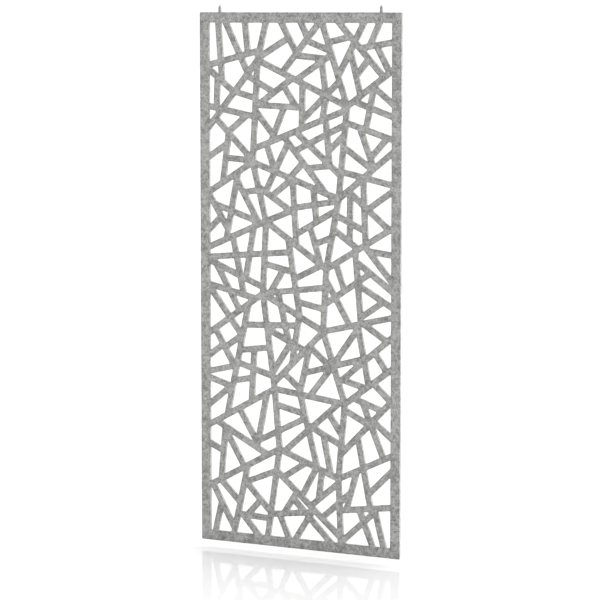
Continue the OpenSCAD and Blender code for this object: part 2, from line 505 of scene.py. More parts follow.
@dataclass
class Turned:
    """A shape turned on a lathe about an upright axis, in millimetres.

    Attributes:
        profile: corners of the profile as (radius, height).
        soft: radius that its corners are rounded with.
        ends: whether the profile closes on itself or ends on the axis.
        around: number of points round the axis.
    """

    profile: Profile
    soft: float
    ends: Ends = Ends.THROUGH
    around: int = 96

    def outline(self) -> FloatArray:
        """Rounds the profile's corners, and leaves those on the axis as they are.

        A capped profile gets a mirrored twin across the axis while it is
        rounded, which keeps its two ends square to the axis.

        Returns:
            Points of the profile.
        """
        corners = np.asarray(self.profile, float)
        if self.ends is Ends.THROUGH:
            return Loops(corners, np.zeros(len(corners), int)).rounded(self.soft, 2).points
        off_axis = corners[corners[:, 0] > 0]
        both = np.vstack([off_axis, off_axis[::-1] * [-1, 1]])
        soft = Loops(both, np.zeros(len(both), int)).rounded(self.soft, 2).points
        return np.vstack([corners[:1], soft[soft[:, 0] > 0], corners[-1:]])

    def made(self, name: str, x: float, finish: Material, shaped: Shaping | None = None) -> Object:
        """Turns the profile round the axis.

        A point of the profile at radius r goes to (r cos t, r sin t), for t
        round the full circle. shaped may change the radius first, by height
        and angle, as for a hexagon or a thread.

        Args:
            name: name of the piece.
            x: place of the axis across the panel, in metres.
            finish: material of the piece.
            shaped: gives the new radius from radius, height and angle.

        Returns:
            The finished object.
        """
        outline = self.outline()
        radius, turn = np.meshgrid(outline[:, 0], turns_of(self.around), indexing="ij")
        height = np.broadcast_to(outline[:, 1][:, None], radius.shape)
        if shaped is not None:
            radius = shaped(radius, height, turn)
        grid = np.stack([radius * np.cos(turn), radius * np.sin(turn), height], -1) * MM + [x, 0, 0]
        number = np.arange(radius.size).reshape(radius.shape)
        if self.ends is Ends.THROUGH:
            faces = [ring_faces(np.vstack([number, number[:1]]))]
            return new_object(name, grid.reshape(-1, 3), faces, finish)
        points = np.vstack([grid[0, :1], grid[1:-1].reshape(-1, 3), grid[-1, :1]])
        return new_object(name, points, capped_faces(number[:-2] + 1, len(points) - 1), finish)


# ---------------------------------------------------------------- finishes


class Nodes:
    """Short hand for the nodes of a material or world, and their links."""

    def __init__(self, tree: bpy.types.NodeTree) -> None:
        """Starts with the nodes that the tree has."""
        self.tree = tree

    def feed(self, socket: Socket, value: object) -> None:
        """Links an output to an input, or gives the input a plain value.

        Args:
            socket: the input.
            value: a node's output, or a number or colour.
        """
        if isinstance(value, Socket):
            self.tree.links.new(value, socket)
        else:
            socket.default_value = value

    def add(self, kind: str, links: dict | None = None, **settings: object) -> bpy.types.Node:
        """Adds a node.

        Args:
            kind: the node's type, without its ShaderNode prefix.
            links: what goes into its inputs, each a socket or a plain value.
            **settings: the node's own properties.

        Returns:
            The node.
        """
        node = self.tree.nodes.new("ShaderNode" + kind)
        for key, value in settings.items():
            setattr(node, key, value)
        for key, value in (links or {}).items():
            self.feed(node.inputs[key], value)
        return node

    def math(self, kind: str, *inputs: object) -> Socket:
        """Works out one operation of the Math node."""
        return self.add("Math", dict(enumerate(inputs)), operation=kind).outputs[0]

    def product(self, *inputs: object) -> Socket:
        """Multiplies two or three values."""
        first = self.math("MULTIPLY", *inputs[:2])
        return first if len(inputs) == 2 else self.math("MULTIPLY", first, inputs[2])

    def total(self, first: object, second: object, third: object) -> Socket:
        """Adds three values."""
        return self.math("ADD", self.math("ADD", first, second), third)


class Surface(Nodes):
    """The nodes of one material."""

    def __init__(self, name: str) -> None:
        """Starts a material with only its shader and output."""
        self.material = bpy.data.materials.new(name)
        self.material.use_nodes = True
        super().__init__(self.material.node_tree)
        self.shader = self.tree.nodes["Principled BSDF"]
        self.coordinates = self.add("TexCoord").outputs["Object"]

    def noise(
        self,
        scale: float,
        detail: float,
        rough: float = 0.5,
        vector: Socket | None = None,
        twist: float = 0.0,
    ) -> Socket:
        """Gives noise from 0 to 1.

        Args:
            scale: waves to the metre, or to each unit of vector.
            detail: number of finer octaves.
            rough: strength of each octave beside the one before.
            vector: coordinates, the object's own if none are given.
            twist: how far the noise is distorted.

        Returns:
            The noise.
        """
        vector = self.coordinates if vector is None else vector
        links = {"Vector": vector, "Scale": scale, "Detail": detail, "Roughness": rough, "Distortion": twist}
        return self.add("TexNoise", links).outputs["Fac"]

    def mapped(self, vector: Socket, **links: object) -> Socket:
        """Moves, turns or scales coordinates."""
        return self.add("Mapping", {"Vector": vector, **links}).outputs[0]

    def stretched(self, turn: float, ratio: float) -> Socket:
        """Gives coordinates that draw a pattern out along one direction of the panel."""
        return self.mapped(self.mapped(self.coordinates, Rotation=(0, turn, 0)), Scale=(1, 1, ratio))

    def ramp(self, value: Socket, low: float, high: float, start: float, end: float) -> Socket:
        """Carries a value smoothly from low..high over to start..end."""
        links = {"Value": value, "From Min": low, "From Max": high, "To Min": start, "To Max": end}
        return self.add("MapRange", links, interpolation_type="SMOOTHSTEP").outputs[0]

    def mixed(self, share: object, first: object, second: object, blend: str = "MIX") -> Socket:
        """Mixes two colours."""
        inputs = {0: share, 6: first, 7: second}
        return self.add("Mix", inputs, data_type="RGBA", blend_type=blend).outputs[2]

    def set(self, **values: object) -> None:
        """Sets or links the shader's own inputs, by name with _ for a space."""
        for key, value in values.items():
            self.feed(self.shader.inputs[key.replace("_", " ")], value)

    def bumped(self, *heights: tuple[Socket, float, float]) -> None:
        """Stacks bumps onto the surface.

        Args:
            *heights: height, depth in metres and strength of each bump.
        """
        under = {}
        for height, depth, strength in heights:
            bump = self.add("Bump", {"Height": height, "Distance": depth, "Strength": strength, **under})
            under = {"Normal": bump.outputs[0]}
        self.set(**under)


def grey(level: float, warmth: float = 0.0) -> tuple[float, float, float, float]:
    """Gives a grey, a little yellower with warmth above zero."""
    return (level * (1 + warmth), level * (1 + warmth), level * (1 - warmth), 1.0)


@dataclass(frozen=True)
class FeltFinish:
    """Heather-grey pressed felt of light and dark fibres.

    Scales are in waves to the metre, directions in radians from upright.

    Attributes:
        name: name of the material.
        light: level of its light fibres.
        middle: level of the ground.
        dark: level of its dark fibres.
        warmth: how much yellower than neutral it is.
        clump_scale: scale of the clumps in which one shade gathers.
        clump_turns: directions along which the clumps are drawn out.
        clump_span: noise at which a clump is all dark and all light.
        faint: strength of the other shade's fibres in a clump.
        patch_scale: scale of the broad pale patches.
        dark_tufts: direction and strength of each set of dark tufts.
        dark_scale: scale of the dark tufts.
        light_tufts: direction and strength of each set of light tufts.
        light_scale: scale of the light tufts.
        thick_fibres: scale, detail and shift of the thick dark fibres.
        thin_fibres: the same for the thin dark fibres.
        pale_fibres: the same for the pale fibres.
        wall_shades: painted light on a cut wall, and the shade of the darker face beside it.
        rim_width: how far in from a cut the face is darker.
        foot: heights between which the panel's foot gets lighter.
        foot_shade: shade at the lower of them.
        clump_depth: height of the clumps.
        fuzz_depth: height of the fibres.
    """

    name: str = "heather_felt"
    light: float = 0.562
    middle: float = 0.29
    dark: float = 0.091
    warmth: float = 0.014
    clump_scale: float = 82
    clump_turns: tuple[float, ...] = (0.5, 1.55, 2.6)
    clump_span: tuple[float, float] = (0.41, 0.59)
    faint: float = 0.18
    patch_scale: float = 26
    dark_tufts: tuple[tuple[float, float], ...] = ((0.3, 0.9), (1.35, 0.85), (2.4, 0.8))
    dark_scale: float = 190
    light_tufts: tuple[tuple[float, float], ...] = ((0.85, 0.62), (1.9, 0.58), (2.95, 0.54))
    light_scale: float = 230
    thick_fibres: tuple[float, float, float] = (260, 3, 0.0)
    thin_fibres: tuple[float, float, float] = (470, 1, 1.7)
    pale_fibres: tuple[float, float, float] = (420, 2, 4.2)
    wall_shades: tuple[float, float] = (1.22, 0.82)
    rim_width: float = 9 * MM
    foot: tuple[float, float] = (-2.43, -2.375)
    foot_shade: float = 0.88
    clump_depth: float = 0.8 * MM
    fuzz_depth: float = 0.3 * MM

    def made(self) -> Material:
        """Builds the felt: clumps, tufts, curled fibres, painted light on the cut walls and darker rims.

        Returns:
            The material.
        """
        n = Surface(self.name)
        thick = self.fibres(n, *self.thick_fibres)
        thin = self.fibres(n, *self.thin_fibres)
        pale = self.fibres(n, *self.pale_fibres)
        wisps = [n.noise(self.clump_scale, 4, 0.62, n.stretched(turn, 0.3), 1.1) for turn in self.clump_turns]
        clumps = n.product(n.total(*wisps), 1 / len(wisps))
        fair = n.ramp(clumps, *self.clump_span, self.faint, 1.0)
        dim = n.ramp(clumps, *self.clump_span, 1.0, self.faint)
        patches = n.ramp(n.noise(self.patch_scale, 2, 0.55), 0.35, 0.65, 0.0, 0.4)
        ground = n.mixed(fair, self.shade(self.middle * 0.6), self.shade(self.middle * 1.36))
        layers = [(patches, self.middle * 1.4)]
        for turn, share in self.dark_tufts:
            layers.append((n.product(self.flecks(n, turn, self.dark_scale, share), dim), self.dark * 1.4))
        for turn, share in self.light_tufts:
            layers.append((n.product(self.flecks(n, turn, self.light_scale, share), fair), self.light))
        layers.append((n.product(thick, 0.7, dim), self.dark))
        layers.append((n.product(thin, 0.5), self.dark * 1.2))
        layers.append((n.product(pale, fair), self.light))
        for share, level in layers:
            ground = n.mixed(share, ground, self.shade(level))
        shade = self.edge_shade(n)
        shades = n.add("CombineColor", {"Red": shade, "Green": shade, "Blue": shade}).outputs[0]
        n.set(Base_Color=n.mixed(1.0, ground, shades, "MULTIPLY"))
        n.set(Roughness=n.ramp(clumps, 0.35, 0.65, 0.86, 0.98), Specular_IOR_Level=0.2)
        n.set(Sheen_Weight=0.18, Sheen_Roughness=0.55, Sheen_Tint=(0.9, 0.9, 0.88, 1))
        n.bumped((clumps, self.clump_depth, 0.5), (n.total(thick, thin, pale), self.fuzz_depth, 0.6))
        return n.material

    def shade(self, level: float) -> tuple[float, float, float, float]:
        """Gives one of the felt's greys."""
        return grey(level, self.warmth)

    def edge_shade(self, n: Surface) -> Socket:
        """Paints light on the cut walls, and darkens the rims beside them and the foot.

        Args:
            n: the felt's nodes.

        Returns:
            The factor that the felt's colour is multiplied by.
        """
        edge = n.add("Attribute", attribute_name="from_edge").outputs["Fac"]
        # painted light: every cut wall is made lighter than the face, as if lit more strongly
        wall = n.ramp(edge, 0.0, 1.2 * MM, *self.wall_shades)
        rim = n.ramp(edge, 1.5 * MM, self.rim_width, 1.0, 1.2)
        height = n.add("SeparateXYZ", {"Vector": n.coordinates}).outputs["Z"]
        foot = n.ramp(height, *self.foot, self.foot_shade, 1.0)
        return n.product(wall, rim, foot)

    @staticmethod
    def flecks(n: Surface, turn: float, scale: float, share: float) -> Socket:
        """Draws short tufts of one shade that lie along one direction."""
        field = n.noise(scale, 2, 0.5, n.stretched(turn, 0.22), 0.6)
        return n.ramp(field, 0.56, 0.68, 0.0, share)

    @staticmethod
    def fibres(n: Surface, scale: float, detail: float, shift: float) -> Socket:
        """Draws curled fibres.

        A fibre is the line on which a twisted noise passes its middle value,
        so its strength falls off with the distance from that value.

        Args:
            n: the felt's nodes.
            scale: scale of the noise.
            detail: number of its finer octaves.
            shift: how far it is moved, so that no two sets are alike.

        Returns:
            Strength of the fibres, from 0 to 1.
        """
        moved = n.mapped(n.coordinates, Location=(shift, -shift, shift))
        field = n.noise(scale, detail, 0.45, moved, 1.6)
        away = n.math("ABSOLUTE", n.math("SUBTRACT", field, 0.5))
        return n.ramp(away, 0.0, 0.045, 1.0, 0.0)


@dataclass(frozen=True)
class CoreFinish:
    """Matt board whose cut edge shows fine pressed layers.

    Attributes:
        name: name of the material.
        level: how light it is.
        layers: waves of the pressed layers to the metre along x, y and z.
        grain_scale: scale of its grain.
        depth: depth of the layers and of the grain.
    """

    name: str = "core_board"
    level: float = 0.2
    layers: tuple[float, float, float] = (60, 2600, 60)
    grain_scale: float = 700
    depth: float = 0.1 * MM

    def made(self) -> Material:
        """Builds the board, with layers that run with its faces.

        Returns:
            The material.
        """
        n = Surface(self.name)
        layers = n.noise(1.0, 3, 0.6, n.mapped(n.coordinates, Scale=self.layers))
        grain = n.noise(self.grain_scale, 3, 0.6)
        tone = n.mixed(n.ramp(layers, 0.3, 0.7, 0, 1), grey(self.level * 0.8), grey(self.level * 1.25))
        tone = n.mixed(n.ramp(grain, 0.4, 0.8, 0, 0.4), tone, grey(self.level * 1.6))
        n.set(Base_Color=tone, Roughness=n.ramp(grain, 0.2, 0.8, 0.7, 0.9))
        n.bumped((layers, self.depth, 0.5), (grain, self.depth, 0.4))
        return n.material


@dataclass(frozen=True)
class MetalFinish:
    """A bare or plated metal, turned, rolled or drawn.

    Attributes:
        name: name of the material.
        tint: its colour.
        rough: how dull it is, at its brightest and at its dullest.
        marks: waves of the tool marks to the metre along x, y and z.
        depth: depth of the tool marks.
        smear_scale: scale of the smears.
        pit_scale: scale of the pits.
        smeared: share of the tint that a smear leaves.
        pitted: share of the tint that a pit leaves.
    """

    name: str
    tint: tuple[float, float, float]
    rough: tuple[float, float]
    marks: tuple[float, float, float]
    depth: float = 0.01 * MM
    smear_scale: float = 260
    pit_scale: float = 2400
    smeared: float = 0.72
    pitted: float = 0.45

    def made(self) -> Material:
        """Builds the metal, with tool marks, smears and a little tarnish.

        Returns:
            The material.
        """
        n = Surface(self.name)
        marks = n.noise(1.0, 4, 0.7, n.mapped(n.coordinates, Scale=self.marks))
        smears = n.noise(self.smear_scale, 3, 0.6)
        pits = n.noise(self.pit_scale, 2, 0.6)
        tone = n.mixed(n.ramp(smears, 0.35, 0.75, 0, 0.55), self.tinted(1.0), self.tinted(self.smeared))
        tone = n.mixed(n.ramp(pits, 0.58, 0.72, 0, 0.4), tone, self.tinted(self.pitted))
        n.set(Base_Color=tone, Metallic=1.0)
        n.set(Roughness=n.ramp(n.math("ADD", smears, marks), 0.6, 1.4, *self.rough))
        n.bumped((marks, self.depth, 0.6), (pits, self.depth, 0.3))
        return n.material

    def tinted(self, share: float) -> tuple[float, ...]:
        """Gives a share of the tint as a colour."""
        return (*(level * share for level in self.tint), 1.0)


@dataclass(frozen=True)
class Finishes:
    """Every finish of the divider, made once."""

    felt: Material
    core: Material
    nickel: Material
    steel: Material
    ball: Material
    wire: Material
    block: Material

    @classmethod
    def made(cls) -> "Finishes":
        """Makes all of them.

        Returns:
            The finishes.
        """
        turned, rolled, drawn, sawn = (40, 40, 9000), (500, 500, 500), (3000, 3000, 300), (2200, 90, 90)
        nickel = MetalFinish("satin_nickel", (0.34, 0.338, 0.332), (0.26, 0.4), turned)
        steel = MetalFinish("bright_steel", (0.39, 0.39, 0.393), (0.26, 0.42), turned)
        ball = MetalFinish("ball_steel", (0.8, 0.8, 0.82), (0.06, 0.14), rolled, 0.002 * MM)
        wire = MetalFinish("spring_wire", (0.5, 0.5, 0.52), (0.2, 0.34), drawn, 0.004 * MM)
        block = MetalFinish("sawn_aluminium", (0.74, 0.75, 0.77), (0.34, 0.52), sawn, 0.02 * MM)
        plain = (FeltFinish(), CoreFinish(), nickel, steel, ball, wire, block)
        return cls(*(finish.made() for finish in plain))


# ------------------------------------------------------------------- panel


@dataclass
class LatticePanel:
    """The lattice's three layers: felt, stiff core, felt.

    Attributes:
        finishes: finishes of the divider.
        corner_r: radius of the openings' corners.
        corner_steps: straight pieces in each corner's arc.
        step: longest piece of an edge.
        soft_r: radius that wear and pressing give the felt's face edges.
        soft_turns: angles of the points on that radius, in degrees.
        wall_in: how far the felt's inner edge lies behind its outline.
        wall_out: how far the felt's wall bulges past its outline.
        core_back: how far the core's cut edge lies behind the felt's.
        core_soft: bevel of the core's cut edge.
        core_gap: play between the core and each felt.
        face_step: distance of the free points on a face.
        row_share: distance of their rows, in face_step.
        rows_in: how far the two rows that follow the outlines lie inside.
        least_gaps: how near an outline a free point, and one of each row, may be.
        same_point: free points nearer than this are one.
        bow: share of its swell by which a point moves out while they are joined up.
        uneven: height of the felt's gentle unevenness.
        face_waves: wave length, seed and share of each part of it.
        edge_wander: how far the cut edges stray from a true line.
        edge_waves: wave length, two seeds and share of each part of that.
        pocket_gap: play round an anchor block.
        hole_r: radius of a stud's hole.
    """

    finishes: Finishes
    corner_r: float = 4 * MM
    corner_steps: int = 3
    step: float = 17 * MM
    soft_r: float = 1.3 * MM
    soft_turns: tuple[float, ...] = (0, 25, 50, 72, 90)
    wall_in: float = 0.15 * MM
    wall_out: float = 0.05 * MM
    core_back: float = 0.3 * MM
    core_soft: float = 0.15 * MM
    core_gap: float = 0.01 * MM
    face_step: float = 15 * MM
    row_share: float = 0.87
    rows_in: tuple[float, float] = (4 * MM, 9 * MM)
    least_gaps: tuple[float, float, float] = (12 * MM, 3.6 * MM, 8.2 * MM)
    same_point: float = 2.5 * MM
    bow: float = 0.004
    uneven: float = 0.1 * MM
    face_waves: tuple[tuple[float, int, float], ...] = ((60 * MM, 7, 0.6), (20 * MM, 8, 0.4))
    edge_wander: float = 0.28 * MM
    edge_waves: tuple[tuple[float, int, int, float], ...] = ((30 * MM, 3, 4, 0.7), (11 * MM, 5, 6, 0.3))
    pocket_gap: float = 0.2 * MM
    hole_r: float = 3.25 * MM

    def build(self) -> list[Object]:
        """Makes the layers from one set of outlines.

        Returns:
            The three objects.
        """
        corners = outlines_of(Layer.FRONT.value).rounded(self.corner_r, self.corner_steps)
        self.rim = corners.divided(self.step)
        self.into = self.rim.inward()
        self.free, self.triangles = self.face_net(self.soft_r)
        return [self.felt(Layer.FRONT), self.core(), self.felt(Layer.BACK)]

    def face_net(self, inset: float) -> tuple[FloatArray, IntArray]:
        """Triangulates a face between its outlines.

        Free points lie on a grid whose rows are shifted by half a step, and in
        two rows that follow the outlines. A free point stays if it is in the
        felt and not too near an outline. A triangle whose corners are all on
        one opening spans that opening, as every opening is convex, and goes.
        While they are joined up, straight sides bow outwards a little, so no
        triangle has all its corners on one straight side.

        Args:
            inset: how far inside the outlines the face ends.

        Returns:
            The free points, and the triangles' corners, numbered through the
            outlines' points first and the free points after them.
        """
        edge = self.rim.points + self.into * inset
        low, high = edge.min(0), edge.max(0)
        across = np.arange(low[0], high[0], self.face_step)
        up = np.arange(low[1], high[1], self.face_step * self.row_share)
        gx, gz = np.meshgrid(across, up, indexing="ij")
        gx = gx + (np.arange(len(up)) % 2 * self.face_step / 2)[None]
        grid = np.column_stack([gx.ravel(), gz.ravel()])
        rows = [(edge + self.into * away)[turn::2] for turn, away in enumerate(self.rows_in)]
        free = np.vstack([grid, *rows])
        least = np.repeat(self.least_gaps, [len(grid), *(len(row) for row in rows)])
        nearest, index = nearest_of(edge, free)
        leaning = ((free - edge[index]) * self.into[index]).sum(1)
        free = free[(nearest > least) & (leaning > 0)]
        _, kept = np.unique(np.round(free / self.same_point).astype(int), axis=0, return_index=True)
        free = free[kept]
        _, after = self.rim.neighbours()
        ends = np.column_stack([np.arange(len(edge)), after])
        outer = self.rim.loop[np.argmin(edge[:, 0])]
        outwards = np.where(self.rim.loop == outer, -1, 1) * self.rim.swell * self.bow
        bowed = edge + self.into * outwards[:, None]
        places = [Vector(place) for place in np.vstack([bowed, free]).tolist()]
        _, _, faces, origin, _, _ = delaunay_2d_cdt(places, ends.tolist(), [], 0, 1e-9)
        first = np.fromiter(map(itemgetter(0), origin), int, len(origin))
        triangles = first[np.array(faces)]
        owner = np.concatenate([self.rim.loop, -1 - np.arange(len(free))])[triangles]
        spans = (owner[:, 0] == owner[:, 1]) & (owner[:, 1] == owner[:, 2]) & (owner[:, 0] != outer)
        return free, triangles[~spans]

    def strayed(self, points: FloatArray) -> FloatArray:
        """Lets places in the panel's plane stray a little, as a cut in felt does.

        Args:
            points: the places.

        Returns:
            The places, each moved by a long and a short wave.
        """
        off = 0
        for wave, seed_x, seed_z, share in self.edge_waves:
            both = [wandering(points, wave, seed_x), wandering(points, wave, seed_z)]
            off = off + share * np.column_stack(both)
        return points + self.edge_wander * off

    def plate(self, name: str, profile: Profile, rest: float, finish: Material, uneven: float) -> Object:
        """Makes one layer: a profile carried round every outline, and two faces.

        A point of the profile lies at its inset from the outline, along the
        direction into the felt, and at its own depth. The last row of the
        profile bounds the outer face and the first one the face on the core.

        Args:
            name: name of the piece.
            profile: (inset, depth) from the inner face's end to the outer's.
            rest: sign of the outer face's direction along Y.
            finish: material of the layer.
            uneven: height of the outer face's unevenness.

        Returns:
            The layer's object.
        """
        count, spare = len(self.rim.points), len(self.free)
        inset, drop = np.array(profile).T
        inner, outer = drop[0], drop[-1]
        plane = self.rim.points[None] + self.into[None] * inset[:, None, None]
        flat = np.vstack([plane.reshape(-1, 2), self.free, self.free])
        depth = np.concatenate([np.repeat(drop, count), np.repeat([inner, outer], spare)])
        share = np.clip((depth - inner) / (outer - inner), 0, 1)
        wave = sum(part * wandering(flat, length, seed) for length, seed, part in self.face_waves)
        depth = depth + rest * uneven * share * (wave - 1.0)
        moved = self.strayed(flat)
        points = np.column_stack([moved[:, 0], depth, moved[:, 1]])
        rows = np.arange(len(profile) * count).reshape(len(profile), count)
        _, after = self.rim.neighbours()
        on_rim = self.triangles < count
        loose = self.triangles - count + rows.size
        inner_face = np.where(on_rim, self.triangles, loose)
        outer_face = np.where(on_rim, self.triangles + rows[-1][0], loose + spare)
        near, _ = nearest_of(self.rim.points, self.free)
        reach = np.concatenate([np.repeat(np.maximum(inset, 0.0), count), near, near])
        faces = [strip_faces(rows, after), inner_face[:, ::-1], outer_face]
        piece = new_object(name, points, faces, finish, from_edge=reach)
        cut_with(piece, self.pockets(finish))
        return piece

    def pockets(self, finish: Material) -> list[Object]:
        """Makes the cutters for the anchor blocks' pockets and the studs' holes.

        Args:
            finish: material of the layer that is cut.

        Returns:
            A block and a rod for each side.
        """
        made = []
        for side in Side:
            low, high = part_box(f"{side.value}_anchor")
            play = Vector((1, 1, 1)) * self.pocket_gap
            middle = (low.x + high.x) / 2
            made.append(block_of(low - play, high + play, finish))
            made.append(rod_of((middle, 0, high.z - self.pocket_gap), (middle, 0, 0), self.hole_r, finish))
        return made

    def felt(self, layer: Layer) -> Object:
        """Makes one felt face with a soft outer edge and a slightly bulging wall.

        Args:
            layer: the front or the back felt.

        Returns:
            The felt's object.
        """
        low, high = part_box(layer.value)
        front = layer is Layer.FRONT
        outer, inner = (low.y, high.y) if front else (high.y, low.y)
        rest = -1.0 if front else 1.0
        bulge = inner + rest * 0.3 * abs(outer - inner)
        profile = [(self.soft_r, inner), (self.wall_in, inner), (-self.wall_out, bulge)]
        for turn in np.radians(self.soft_turns):
            drop = self.soft_r * (1 - math.sin(turn))
            profile.append((self.soft_r * (1 - math.cos(turn)), outer - rest * drop))
        piece = self.plate(f"{layer.value}_sheet", profile, rest, self.finishes.felt, self.uneven)
        dressed(piece, layer.value, "panel")
        area = self.face_area()
        return piece

    def face_area(self) -> float:
        """Adds up the area of a felt face's triangles.

        Returns:
            The area, in square metres.
        """
        places = np.vstack([self.rim.points + self.into * self.soft_r, self.free])
        a, b, c = places[self.triangles].transpose(1, 0, 2)
        return float(np.abs((b - a)[:, 0] * (c - a)[:, 1] - (b - a)[:, 1] * (c - a)[:, 0]).sum() / 2)

    def core(self) -> Object:
        """Makes the stiff core, with bevelled edges a little behind the felt's.

        Returns:
            The core's object.
        """
        low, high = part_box(Layer.CORE.value)
        back, soft = self.core_back, self.core_soft
        profile = [
            (self.soft_r, high.y - self.core_gap),
            (back + soft, high.y - self.core_gap),
            (back, high.y - soft),
            (back, low.y + soft),
            (back + soft, low.y + self.core_gap),
            (self.soft_r, low.y + self.core_gap),
        ]
        piece = self.plate("core_board_sheet", profile, -1.0, self.finishes.core, 0.0)
        return dressed(piece, Layer.CORE.value, "panel")


# ---------------------------------------------------------------- grippers


@dataclass
class Gripper:
    """One cable gripper on the panel's top edge, and the block that holds it.

    Sizes are in millimetres, and heights go down from the cable's entry.

    Attributes:
        finishes: finishes of the divider.
        side: which gripper it is.
        entry_r: radius of the cable's bore.
        barrel_top: height of the barrel's upper end.
        barrel_end: height of the barrel's lower end.
        barrel_r: outer radius of the barrel.
        barrel_bevel: bevel of the barrel's upper end.
        barrel_soft: bevel of the barrel's lower end.
        groove_drop: depth of the upper groove's middle under the upper end.
        groove_rise: height of the lower groove's middle over the lower end.
        groove_half: half the width of a groove.
        groove_deep: depth of a groove.
        guide_r: radius of the nipple's guide in the barrel.
        bore_r: radius of the bore under the cone.
        cone_top: height at which the cone begins.
        cone_end: height at which the cone ends.
        head_r: radius of the nipple's head.
        head_end: height of the head's lower end.
        head_bevel: bevel of the head's upper end.
        head_soft: bevel of the head's lower end.
        entry_bevel: bevel of the bore's mouth.
        tail_bevel: bevel of the bore's lower end.
        ribs: number of ribs round the head.
        rib_deep: depth of the ribs.
        rib_fade: height over which the ribs run out.
        cage_r: radius of the ball cage.
        flange_r: radius of the flange that the spring lifts.
        flange_t: thickness of that flange.
        nipple_end: height of the nipple's lower end.
        balls: number of gripping balls.
        ball_z: height of the balls' middles.
        ball_ring: distance of the balls' middles from the axis.
        ball_r: radius of a ball.
        seat_gap: play round a ball.
        seat_len: length of the cutter for a ball's seat.
        coil_r: radius of the spring's middle line.
        wire_r: radius of the spring's wire.
        turns: turns of the spring.
        shares: parts of its height climbed between the end turns and evenly.
        spring_gap: play at each end of the spring.
        plug_top: height of the plug that closes the barrel.
        plug_gap: play between the plug and the barrel.
        hex_af: width across the hexagon's flats.
        hex_end: height of the hexagon's lower end.
        hex_in: how far inside the flats the hexagon's faces end.
        cone_in: how far inside the flats its chamfer begins.
        washer_r: outer radius of the washer.
        washer_end: height of the washer's lower end.
        washer_gap: play between the washer and the stud.
        stud_r: outer radius of the thread.
        stud_end: height of the stud's lower end.
        tip_in: how far the stud narrows at its tip.
        tip_h: height of the narrowed tip.
        neck_in: depth of the neck under the hexagon.
        neck_h: height of that neck.
        thread_gap: how far under the hexagon the thread's points end.
        thread_half: half the thread's depth, in pitches.
        fade_tip: height over which the thread runs out at the tip.
        fade_neck: the same at the neck.
        fade_gap: how far under the hexagon it has run out.
        pitch: pitch of the thread.
        outlet_z: height at which the cable's tail leaves the axis.
        outlet_tilt: how far the outlet leans from upright, in degrees.
        outlet_len: length of the outlet's cutter.
        well_gap: play round the cable in the plug's well.
    """

    finishes: Finishes
    side: Side
    entry_r: float = 1.1
    barrel_top: float = -5.5
    barrel_end: float = -26.5
    barrel_r: float = 6.5
    barrel_bevel: float = 0.6
    barrel_soft: float = 0.25
    groove_drop: float = 2.6
    groove_rise: float = 4.4
    groove_half: float = 0.45
    groove_deep: float = 0.3
    guide_r: float = 3.09
    bore_r: float = 4.415
    cone_top: float = -8.0
    cone_end: float = -16.364
    head_r: float = 4.75
    head_end: float = -2.6
    head_bevel: float = 0.6
    head_soft: float = 0.2
    entry_bevel: float = 0.35
    tail_bevel: float = 0.1
    ribs: int = 44
    rib_deep: float = 0.07
    rib_fade: float = 0.15
    cage_r: float = 3.03
    flange_r: float = 3.56
    flange_t: float = 1.0
    nipple_end: float = -13.864
    balls: int = 3
    ball_z: float = -11.064
    ball_ring: float = 2.33
    ball_r: float = 1.2
    seat_gap: float = 0.05
    seat_len: float = 5
    coil_r: float = 3.21
    wire_r: float = 0.25
    turns: int = 5
    shares: tuple[float, float] = (0.88, 0.12)
    spring_gap: float = 0.03
    plug_top: float = -20.5
    plug_gap: float = 0.05
    hex_af: float = 13.0
    hex_end: float = -29.0
    hex_in: float = 0.3
    cone_in: float = 0.12
    washer_r: float = 8.0
    washer_end: float = -30.0
    washer_gap: float = 0.25
    stud_r: float = 3.0
    stud_end: float = -54.0
    tip_in: float = 0.8
    tip_h: float = 0.9
    neck_in: float = 0.55
    neck_h: float = 0.3
    thread_gap: float = 0.35
    thread_half: float = 0.28
    fade_tip: float = 1.5
    fade_neck: float = 1.0
    fade_gap: float = 0.4
    pitch: float = 1.0
    outlet_z: float = -21.5
    outlet_tilt: float = 70.0
    outlet_len: float = 14.0
    well_gap: float = 0.3

    def __post_init__(self) -> None:
        """Reads where the gripper's axis stands across the panel, in metres."""
        low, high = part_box(self.named("barrel"))
        self.x = (low.x + high.x) / 2

    def build(self) -> list[Object]:
        """Makes every piece of the gripper.

        Returns:
            The gripper's objects.
        """
        return [
            self.washer(),
            self.base_stud(),
            self.barrel(),
            self.nipple(),
            self.ball_set(),
            self.spring(),
            self.anchor(),
        ]

    def named(self, part: str) -> str:
        """Names a part of this gripper."""
        return f"{self.side.value}_{part}"

    def placed(self, piece: Object, part: str) -> Object:
        """Lets a piece stand for its CAD node, on that node's body."""
        body = self.named("release") if part in ("nipple", "balls") else "panel"
        return dressed(piece, self.named(part), body)

    def rod(self, start: Sequence[float], end: Sequence[float], radius: float) -> Object:
        """Makes a round cutter between two points, in millimetres from the axis."""
        ends = [np.array(point, float) * MM + [self.x, 0, 0] for point in (start, end)]
        return rod_of(*ends, radius * MM, self.finishes.steel)

    def outlet(self) -> Object:
        """Makes the cutter for the tail's way out at the back.

        Returns:
            The cutter.
        """
        lean = math.radians(self.outlet_tilt)
        fall = self.outlet_len * math.cos(lean)
        far = (0.0, self.outlet_len * math.sin(lean), self.outlet_z - fall)
        return self.rod((0, 0, self.outlet_z), far, self.entry_r)

    def washer(self) -> Object:
        """Makes the washer, rounded by tumbling.

        Returns:
            The piece.
        """
        top, end, hole = self.hex_end, self.washer_end, self.stud_r + self.washer_gap
        profile = [(hole, end), (self.washer_r, end), (self.washer_r, top), (hole, top)]
        piece = Turned(profile, soft=0.22).made(self.named("washer_ring"), self.x, self.finishes.steel)
        return self.placed(piece, "washer")

